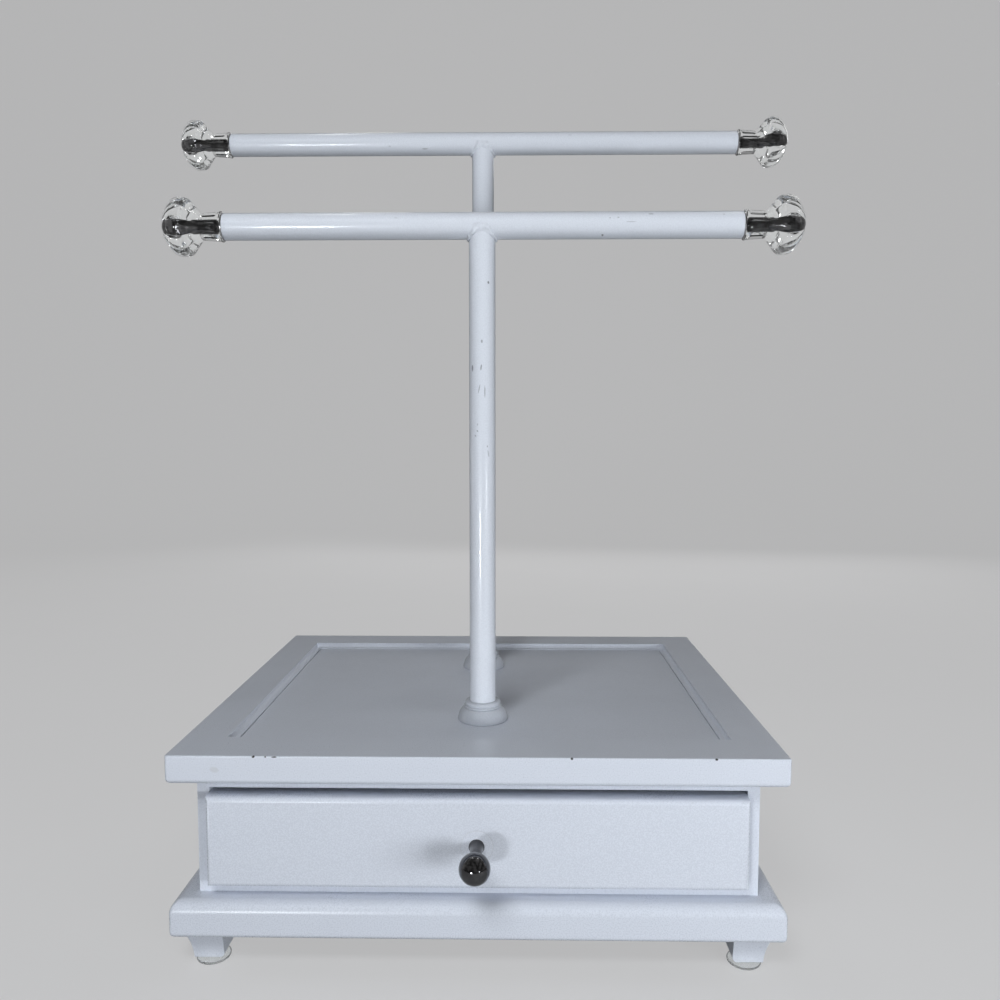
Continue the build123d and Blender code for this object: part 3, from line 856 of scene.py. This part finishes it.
post_scuffs = [tube_mark(front_post, *row) for row in (
    (3.5, 347.5, 0.55, 0.9, 0.1, 0.8),
    (-5.2, 302.0, 0.5, 2.2, 0.0, 0.75),
    (-0.4, 302.3, 0.5, 2.0, -0.1, 0.6),
    (0.0, 316.2, 0.6, 1.1, 0.0, 0.55),
    (-1.5, 290.8, 0.35, 2.9, -0.2, 0.5),
    (1.6, 289.4, 0.35, 3.8, 0.0, 0.55),
    (-2.5, 268.1, 0.5, 0.6, 0.3, 0.5),
    (-3.6, 265.5, 0.5, 0.7, 0.4, 0.4),
    (2.9, 259.7, 0.4, 0.6, 0.0, 0.5),
    (3.4, 255.9, 0.35, 2.2, 0.15, 0.45),
    (-2.4, 271.6, 0.3, 0.8, 0.0, 0.35),
)]
front_bar_scuffs = [tube_mark(front_post, *row) for row in (
    (64.6, 372.6, 1.0, 0.6, 0.0, 0.95),
    (90.2, 383.3, 1.8, 0.35, 0.0, 0.6),
    (79.4, 378.9, 3.2, 0.3, 0.0, 0.35),
    (68.3, 381.1, 0.6, 0.4, 0.0, 0.35),
    (72.7, 381.3, 0.7, 0.4, 0.0, 0.40),
    (128.8, 382.9, 0.6, 0.4, 0.0, 0.35),
    (-45.9, 381.5, 1.5, 0.25, 0.0, 0.25),
)]
rear_bar_scuffs = [tube_mark(rear_post, *row) for row in (
    (-38.0, 453.5, 2.6, 0.4, 0.0, 0.45),
    (-61.0, 455.0, 1.2, 0.3, 0.0, 0.35),
    (57.0, 461.5, 1.6, 0.25, 0.0, 0.30),
)]


def plate_mark(aside, behind, height, half_size, lean=0.0, strength=1.0):
    """A mark on the box.

    It lies aside from the box's middle, behind its front edge and above the floor, in millimetres.
    """
    place = (plate_middle + aside * MM, plate_front + behind * MM, height * MM)
    return place, tuple(size * MM for size in half_size), lean, strength


chip_level = plate_level / MM - 0.4
plate_chips = [
    plate_mark(-108.6, 0.4, chip_level, (0.9, 1.1, 0.7)),
    plate_mark(-102.7, 0.4, chip_level, (0.5, 1.1, 0.5)),
    plate_mark(-98.3, 0.4, chip_level, (1.7, 1.1, 0.35)),
    plate_mark(46.4, 0.4, chip_level, (0.8, 1.1, 0.6)),
    plate_mark(116.2, 0.4, chip_level, (0.9, 1.1, 0.6)),
    plate_mark(-132.1, 0.0, 95.5, (0.8, 2.5, 0.9)),
]
plate_scuffs = [
    plate_mark(-127.8, 0.0, 103.1, (2.6, 3.0, 1.8), 0.3, 0.45),
    plate_mark(-112.1, 27.0, plate_level / MM, (1.6, 0.5, 2.0), 0.0, 0.6),
]
foot_chip = plate_mark(-128.8, 5.9, 5.2, (0.9, 3.0, 0.7))
knob_ring = (tuple(knob_axis_place), 8.0 * MM, 0.55 * MM)

# ---- boards, feet and pads ---------------------------------------------
CORNERS = ("front_left", "front_right", "rear_left", "rear_right")


def painted(node, finish, body="stand"):
    return dressed("painted_" + node, node, finish, body)


painted("top_frame", board_paint("top frame paint", "top_frame", plate_chips, plate_scuffs))
painted("top_panel", board_paint("panel paint", "top_panel", gloss=0.34, bareness=0.2))
painted("base_plate", board_paint("base paint", "base_plate", gloss=0.28))
for side in ("top_board", "bottom_board", "side_left", "side_right", "back"):
    board = "case_" + side
    painted(board, board_paint(board + " paint", board, bareness=0.25))
for corner in CORNERS:
    foot = "foot_" + corner
    chips = [foot_chip] if corner == "front_left" else ()
    painted(foot, board_paint("foot paint " + corner, foot, chips, bareness=0.4))

pad_finish = clear_pad()
pad_profile = (
    [(0.0, 0.0), (pad_radius * 0.55, 0.0)]
    + arc((pad_radius - pad_round, pad_round), pad_round, -90, 0)
    + [(pad_radius, pad_thickness - pad_edge), (pad_radius - pad_edge, pad_thickness)]
    + [(0.0, pad_thickness)]
)
for corner in CORNERS:
    node = "foot_pad_" + corner
    pad = middle(node)
    turned_piece(
        "soft_pad_" + corner, pad_profile, placed_at((pad.x, pad.y, 0.0)), pad_finish,
        "clear_pad", [node], Sides=72, Unevenness=0.05 * MM, Unevenness_Scale=160.0,
    )

# ---- drawer ------------------------------------------------------------
drawer_finish = board_paint(
    "drawer front paint", "drawer_front", gloss=0.27, bareness=0.34, ring=knob_ring,
)
painted("drawer_front", drawer_finish, "drawer")
inside_finish = satin_paint()
for board in ("drawer_side_left", "drawer_side_right", "drawer_back", "drawer_floor"):
    dressed("satin_" + board, board, inside_finish, "drawer")
dressed("felt_liner", "drawer_liner", grey_felt(), "drawer")

# The knob's and studs' nickel is darkened, so that it shows a painted dark reflection.
nickel_with_painted_reflection = nickel_plate("nickel with painted dark reflection", NICKEL_WITH_DARK_REFLECTION_DEEP, NICKEL_WITH_DARK_REFLECTION, 0.05, 0.13)
neck_top = knob_ball_reach - sqrt(knob_ball_radius**2 - knob_neck_radius**2)
neck_meets_ball = degrees(acos(knob_neck_radius / knob_ball_radius))
flare = knob_foot_radius - knob_neck_radius
knob_profile = (
    [(0.0, 0.0), (knob_foot_radius, 0.0), (knob_foot_radius, knob_foot_length * knob_foot_edge)]
    + [(knob_neck_radius + flare * share, knob_foot_length * level) for share, level in knob_flare]
    + run((knob_neck_radius, knob_foot_length), (knob_neck_radius, neck_top), 6)
    + arc((0.0, knob_ball_reach), knob_ball_radius, -neck_meets_ball, 90, 40)[1:]
)
knob_profile[-1] = (0.0, knob_ball_reach + knob_ball_radius)
knob_foot = (knob_axis_place.x, drawer_face, knob_axis_place.z)
turned_piece(
    "ball_knob", knob_profile, placed_at(knob_foot, TO_FRONT), nickel_with_painted_reflection, "nickel",
    ["drawer_knob"], "drawer", Sides=96,
)

# ---- tubes, flanges and welds ------------------------------------------
bore_radius = tube_radius - tube_wall


def tube_profile(length, stations):
    """An open tube with softly rounded, painted rims, as one closed outline."""
    outer = arc((tube_radius - tube_lip, tube_lip), tube_lip, -90, 0, 4)
    outer += run(outer[-1], (tube_radius, length - tube_lip), stations)
    outer += arc((tube_radius - tube_lip, length - tube_lip), tube_lip, 0, 90, 4)[1:]
    return outer + [(bore_radius, length), (bore_radius, 0.0), outer[0]]


tube_setup = dict(Sides=128, Unevenness=0.10 * MM, Unevenness_Scale=28.0)
tube_finishes = {
    "post_front": tube_paint("front post paint", post_scuffs),
    "post_rear": tube_paint("rear post paint"),
    "bar_front": tube_paint("front bar paint", front_bar_scuffs),
    "bar_rear": tube_paint("rear bar paint", rear_bar_scuffs),
}
weld_finish = tube_paint("weld paint")
# The flanges' paint is darker than the tubes': painted shade, not a paint of their own.
shaded_flange_finish = tube_paint("flange paint with painted shade", dull=FLANGE_DULL_SHADED, pale=FLANGE_PAINT_SHADED)
posts = {"front": front_post, "rear": rear_post}
bars = {"front": front_bar, "rear": rear_bar}

ring_top = flange_ring_foot + flange_ring_height
dome_run = flange_ring_radius - flange_radius
dome_rise = flange_ring_foot - flange_rim_height
flange_dome = [
    (
        flange_radius + dome_run * (step - flange_dome_fullness * sin(pi * step)),
        flange_rim_height + dome_rise * (step + flange_dome_fullness * sin(pi * step)),
    )
    for step in (0.0, 0.1, 0.25, 0.4, 0.55, 0.7, 0.85, 0.95)
]
ring_middle = (flange_ring_radius - flange_ring_round, flange_ring_foot + flange_ring_height / 2)
collar_middle = (flange_collar_radius - flange_collar_round, flange_height - flange_collar_round)
flange_profile = (
    [(flange_hole_radius, 0.0)]
    + arc((flange_radius - flange_foot_round, 0.45 * MM), flange_foot_round, -90, 0, 5)
    + flange_dome
    + [(flange_ring_radius - flange_ring_round, flange_ring_foot)]
    + arc(ring_middle, flange_ring_round, -75, 75, 7)
    + [(flange_collar_radius - 0.25 * MM, ring_top), (flange_collar_radius, ring_top + 0.35 * MM)]
    + arc(collar_middle, flange_collar_round, 0, 90, 6)
    + [(flange_hole_radius, flange_height), (flange_hole_radius, 0.0)]
)

for end, seed in (("front", 2.0), ("rear", 5.0)):
    post, bar = posts[end], bars[end]
    post_foot = placed_at((post.x, post.y, tray_level))
    post_length = bar.z - tray_level - post_top_gap
    turned_piece(
        "painted_post_" + end, tube_profile(post_length, 70), post_foot,
        tube_finishes["post_" + end], "white_tube", ["post_" + end], Seed=seed, **tube_setup,
    )
    bar_length = span("bar_" + end).x
    bar_start = placed_at((bar.x - bar_length / 2, bar.y, bar.z), TO_RIGHT)
    turned_piece(
        "painted_bar_" + end, tube_profile(bar_length, 90), bar_start,
        tube_finishes["bar_" + end], "white_tube", ["bar_" + end], Seed=seed + 1.0, **tube_setup,
    )
    turned_piece(
        "painted_flange_" + end, flange_profile, post_foot, shaded_flange_finish, "white_tube",
        ["flange_" + end], Sides=96, sharp_angle=38,
    )
    bead = new_object("bead", plain_copy("weld_" + end))
    remesh = bead.modifiers.new("even faces", "REMESH")
    remesh.mode = "VOXEL"
    remesh.voxel_size = bead_grain
    soften = bead.modifiers.new("soften", "SMOOTH")
    soften.factor = 0.5
    soften.iterations = 26
    even_bead = settled(bead)
    bpy.data.objects.remove(bead)
    joint = Matrix.Translation((post.x, post.y, bar.z))
    even_bead.transform(joint @ Matrix.Scale(bead_slimness, 4) @ joint.inverted())
    weld_mesh = grown(
        even_bead, weld_ripples, Ripple_Height=1.3 * MM, Ripple_Scale=460.0, Seed=seed,
        Finish=weld_finish,
    )
    tidy_mesh(weld_mesh, 60, turn_out=False)
    finished("painted_weld_" + end, weld_mesh, None, ["weld_" + end], "stand")

# ---- clear end knobs with their plugs and studs ------------------------
glass_finish = clear_glass()
plug_finish = nickel_plate("plug nickel", PLUG_NICKEL_DEEP, PLUG_NICKEL, 0.12, 0.24)

crown_height = finial_length - finial_widest_at
crown_slope = radians(finial_crown_angle)
crown_share = (1 - sin(crown_slope)) / cos(crown_slope)
side_radius = (crown_height - crown_share * finial_head_radius) / (1 - crown_share)
side_x = finial_head_radius - side_radius
crown_radius = side_x / cos(crown_slope) + side_radius
crown_centre = finial_length - crown_radius
shoulder_middle = (finial_head_radius - finial_shoulder_radius, finial_widest_at)
shoulder = arc(shoulder_middle, finial_shoulder_radius, -finial_shoulder_angle, 0, 8)
neck_end = (finial_waist_radius, finial_waist_at)
finial_profile = (
    [(0.0, 0.0), (finial_lip_radius - finial_lip_round, 0.0), (finial_lip_radius, 0.35 * MM)]
    + [(finial_lip_radius - 0.05 * MM, 0.75 * MM), (finial_neck_radius + 0.1 * MM, finial_lip_height)]
    + run((finial_neck_radius, finial_lip_height + 0.1 * MM), neck_end, 10)
    + run(neck_end, shoulder[0], 8)
    + shoulder[1:]
    + arc((side_x, finial_widest_at), side_radius, 0, finial_crown_angle, 12)[1:]
    + arc((0.0, crown_centre), crown_radius, finial_crown_angle, 90, 18)[1:]
)
finial_profile[-1] = (0.0, finial_profile[-1][1])

plug_profile = [
    (0.0, -end_plug_length), (bore_radius - end_plug_chamfer, -end_plug_length),
    (bore_radius, -end_plug_length + end_plug_chamfer), (bore_radius, 0.0),
    (tube_radius - 0.1 * MM, 0.0), (tube_radius, end_plug_round),
    (tube_radius, end_plug_lip - end_plug_round), (tube_radius - end_plug_round, end_plug_lip),
    (0.0, end_plug_lip),
]


def threaded_rod_profile(radius, length, pitch, depth):
    """A rod's outline with the ridges of its thread."""
    points = [(0.0, 0.0), (radius - depth, 0.0)]
    for i in range(int(length / pitch)):
        points += [(radius, (i + 0.5) * pitch), (radius - depth, (i + 1.0) * pitch)]
    return points + [(radius - depth, length), (0.0, length)]


knob_twists = {"front_left": -13.4, "front_right": 12.0, "rear_left": -18.3, "rear_right": 12.0}
stud_length = stud_in_plug + stud_in_finial
stud_start = end_plug_lip - stud_in_plug
stud_profile = threaded_rod_profile(stud_radius, stud_length, thread_pitch, thread_depth)
stud_meshes = []
for end in ("front", "rear"):
    for side, sign, turn in (("left", -1, TO_LEFT), ("right", 1, TO_RIGHT)):
        bar = bars[end]
        corner = end + "_" + side
        tip = Vector((bar.x + sign * span("bar_" + end).x / 2, bar.y, bar.z))
        twist = Matrix.Rotation(radians(knob_twists[corner]), 4, "Z")
        glass_foot = tip + Vector((sign * end_plug_lip, 0, 0))
        turned_piece(
            "glass_knob_" + corner, finial_profile, placed_at(glass_foot, turn @ twist),
            glass_finish, "clear_glass", ["finial_" + corner], sharp_angle=28,
            Sides=finial_flutes * 14, Flutes=finial_flutes, Flute_Depth=flute_depth,
            Flute_Roundness=flute_roundness, Flute_Start=finial_waist_at,
            Flute_End=finial_widest_at - 2 * MM, Facet_Depth=1.0, Facet_Start=finial_lip_height,
        )
        turned_piece(
            "nickel_plug_" + corner, plug_profile, placed_at(tip, turn), plug_finish, "nickel",
            ["bar_end_plug_" + corner], Sides=64,
        )
        stud = grown(profile_mesh(stud_profile), turned, Sides=32, Finish=nickel_with_painted_reflection)
        stud.transform(placed_at(tip + Vector((sign * stud_start, 0, 0)), turn))
        stud_meshes.append(stud)


def joined(meshes):
    """Several meshes as one."""
    shape = bmesh.new()
    for mesh in meshes:
        shape.from_mesh(mesh)
    whole = bpy.data.meshes.new("joined")
    shape.to_mesh(whole)
    shape.free()
    return whole


studs = joined(stud_meshes)
tidy_mesh(studs, 20)
finished("threaded_studs", studs, nickel_with_painted_reflection, ["finial_studs"], "stand")

# ---- screws, bolts and washers -----------------------------------------
steel_finish = zinc_steel()


def screw_set(name, node, turn, body="stand", along=2, head_low=True, **sizes):
    """One set of like screws, a screw for each solid of its node."""
    places = []
    for low, high in solids_of(node):
        place = (low + high) / 2
        place[along] = low[along] if head_low else high[along]
        places.append(tuple(place))
    mesh = bpy.data.meshes.new("screw places")
    mesh.from_pydata(places, [], [])
    length = (high - low)[along]
    made = grown(mesh, screws, Length=length, Turn=turn, Finish=steel_finish, **sizes)
    tidy_mesh(made, 25)
    return finished(name, made, None, [node], body)


HEAD_DOWN = (0.0, 0.0, 0.0)
HEAD_UP = (pi, 0.0, 0.0)
HEAD_BACK = (pi / 2, 0.0, 0.0)
hexagon_width = 4.0 * MM
pan_head = dict(Head_Radius=3.8 * MM, Head_Neck_Radius=3.8 * MM, Head_Height=2.4 * MM)
cap_head = dict(Head_Radius=6.0 * MM, Head_Neck_Radius=6.0 * MM, Head_Height=3.2 * MM)
screw_set("panel_wood_screws", "panel_screws", HEAD_DOWN, Seed=3)
screw_set("base_wood_screws", "base_screws", HEAD_UP, head_low=False, Seed=5)
screw_set("foot_wood_screws", "foot_screws", HEAD_DOWN, Seed=8)
screw_set(
    "knob_machine_screw", "knob_screw", HEAD_BACK, "drawer", along=1, head_low=False, Seed=2,
    Shank_Radius=1.75 * MM, Thread_Radius=2.0 * MM, Thread_Pitch=0.7 * MM,
    Point_Length=0.4 * MM, **pan_head,
)
screw_set(
    "post_cap_bolts", "post_bolts", HEAD_DOWN, Seed=4, Shank_Radius=2.6 * MM, Thread_Radius=3.0 * MM,
    Thread_Pitch=1.0 * MM, Point_Length=0.6 * MM, Recess_Arms=3, Recess_Span=hexagon_width,
    Recess_Width=hexagon_width / sqrt(3), Recess_Depth=1.6 * MM, **cap_head,
)
for node in ("post_washers", "post_plug_front", "post_plug_rear"):
    dressed("steel_" + node, node, steel_finish)

# ---- floor and backdrop ------------------------------------------------
def stage_sheet():
    """A wide floor that sweeps up behind the object."""
    half_width, front, bend, sweep_radius, height = 6.0, -6.0, 1.5, 0.7, 4.0
    outline = [(front, 0.0), (0.0, 0.0), (bend, 0.0)]
    for i in range(1, 13):
        angle = pi / 2 * i / 12
        outline.append((bend + sweep_radius * sin(angle), sweep_radius * (1 - cos(angle))))
    outline.append((bend + sweep_radius, height))
    places = [(side * half_width, y, z - 0.02 * MM) for y, z in outline for side in (-1, 1)]
    faces = [(2 * i, 2 * i + 1, 2 * i + 3, 2 * i + 2) for i in range(len(outline) - 1)]
    mesh = bpy.data.meshes.new("floor and backdrop")
    mesh.from_pydata(places, [], faces)
    mesh.shade_smooth()
    return new_object("floor_and_backdrop", mesh)


def ray_kinds():
    """1 or 0 for a ray from the camera, off a glossy face, and through glass."""
    rays = add("ShaderNodeLightPath").outputs
    return rays["Is Camera Ray"], rays["Is Glossy Ray"], rays["Is Transmission Ray"]


def rays_that_see():
    """1 for a ray of any of these three kinds."""
    from_camera, off_gloss, through_glass = ray_kinds()
    seen = calc("MAXIMUM", from_camera, off_gloss)
    return calc("MAXIMUM", seen, through_glass)


def stage_finish():
    """Matt pale card that glows a little, so that it stays pale and still shows shadows.

    Light bounces off it to the object as off a darker card.
    """
    seen_glow, mirrored_glow = 0.62, 0.18
    material, shader, place = start_material("pale matt stage", Roughness=0.9, Specular_IOR_Level=0.1)
    mottle = noise(place, 5.0, 3.0, 0.5)
    tone = blend_colours(ramp(mottle, 0.3, 0.7), FLOOR, FLOOR_PALE)
    tone = blend_colours(rays_that_see(), FLOOR_BOUNCE, tone)
    feed(shader.inputs["Base Color"], tone)
    glow = add("ShaderNodeEmission", {"Color": BACKDROP, "Strength": 1.0})
    card = add("ShaderNodeMixShader")
    from_camera, off_gloss, through_glass = ray_kinds()
    seen_plainly = calc("MAXIMUM", from_camera, through_glass)
    plain_share = times(seen_plainly, seen_glow)
    glow_share = times_plus(off_gloss, mirrored_glow, plain_share)
    for socket, value in zip(card.inputs, (glow_share, shader.outputs[0], glow.outputs[0])):
        feed(socket, value)
    feed(material.node_tree.nodes["Material Output"].inputs["Surface"], card.outputs[0])
    return material


floor = stage_sheet()
floor.data.materials.append(stage_finish())

# ---- light -------------------------------------------------------------
aim = Vector((0.0, 0.0, 0.20))
COOL = (0.930, 0.965, 1.0)
WHITE = (1.0, 1.0, 1.0)


def soft_light(name, azimuth, height, distance, width, depth, watts, colour, reflected=False):
    """A rectangular lamp aimed at the stand. Azimuth 0 is in front, 90 to the right.

    A lamp that isn't reflected lights the paint, but shows in no glossy face and through no glass.
    """
    turn = radians(azimuth)
    lamp = bpy.data.lights.new(name, "AREA")
    lamp.shape = "RECTANGLE"
    lamp.size = width
    lamp.size_y = depth
    lamp.energy = watts
    lamp.color = colour
    obj = new_object(name, lamp)
    obj.location = Vector((distance * sin(turn), -distance * cos(turn), height))
    obj.rotation_euler = (obj.location - aim).to_track_quat("Z", "Y").to_euler()
    obj.visible_camera = False
    obj.visible_glossy = reflected
    obj.visible_transmission = reflected
    return obj


soft_light("low right fill", 40, 0.15, 0.82, 0.45, 0.16, 2.6, COOL)
soft_light("high left fill", -16, 0.90, 0.78, 0.40, 0.25, 4.5, COOL)
soft_light("front left key", -18, 0.05, 1.25, 0.15, 0.12, 3.4, COOL, reflected=True)
soft_light("front right lamp", 34, 0.16, 1.25, 0.09, 0.07, 0.5, COOL, reflected=True)
soft_light("left lamp behind", -166, 1.30, 1.20, 0.14, 0.14, 0.35, WHITE, reflected=True)
soft_light("right lamp behind", 150, 0.90, 1.40, 0.14, 0.14, 0.35, WHITE, reflected=True)
soft_light("left lamp above", -134, 1.28, 0.36, 0.08, 0.08, 0.20, WHITE, reflected=True)
soft_light("right lamp above", 123, 1.24, 0.46, 0.08, 0.08, 0.20, WHITE, reflected=True)
soft_light("left lamp", -100, 0.20, 1.30, 0.16, 0.16, 0.3, WHITE, reflected=True)
rear_fill = soft_light("rear fill", 172, 0.36, 1.70, 1.60, 0.30, 3.6, WHITE)
rear_fill_spread = 110
rear_fill.data.spread = radians(rear_fill_spread)

world = bpy.data.worlds.new("studio")
bpy.context.scene.world = world
world.use_nodes = True
Work.tree = world.node_tree
background = Work.tree.nodes["Background"]
sky_light = 0.03
far_tone = 0.65
pale_room = 0.75
dim_room = 0.24
sky_direction = add("ShaderNodeTexCoord").outputs["Generated"]
room = ramp(split(sky_direction)["Y"], -0.35, 0.45, dim_room, pale_room)
patches = noise(sky_direction, 2.6, 2.0, 0.6)
room = times(room, ramp(patches, 0.42, 0.60, 0.35, 1.35))
_, off_gloss, through_glass = ray_kinds()
bounced = calc("MAXIMUM", off_gloss, through_glass)
seen_room = blend_numbers(bounced, far_tone, room)
feed(background.inputs["Color"], BACKDROP)
feed(background.inputs["Strength"], blend_numbers(rays_that_see(), sky_light, seen_room))

# ---- camera ------------------------------------------------------------
lens = bpy.data.cameras.new("camera")
lens.sensor_width = 36.0
lens.lens = 30.87
lens.clip_start = 0.01
camera = new_object("camera", lens)
camera_aside = 18.27 * MM
camera_in_front = 404.73 * MM
camera_height = 265.15 * MM
camera_pitch_down = 0.074
camera_turn_left = 0.0165
camera.location = (plate_middle + camera_aside, plate_front - camera_in_front, camera_height)
camera.rotation_euler = (pi / 2 - camera_pitch_down, 0.0, camera_turn_left)
bpy.context.scene.camera = camera
bpy.context.scene.view_settings.view_transform = "Standard"
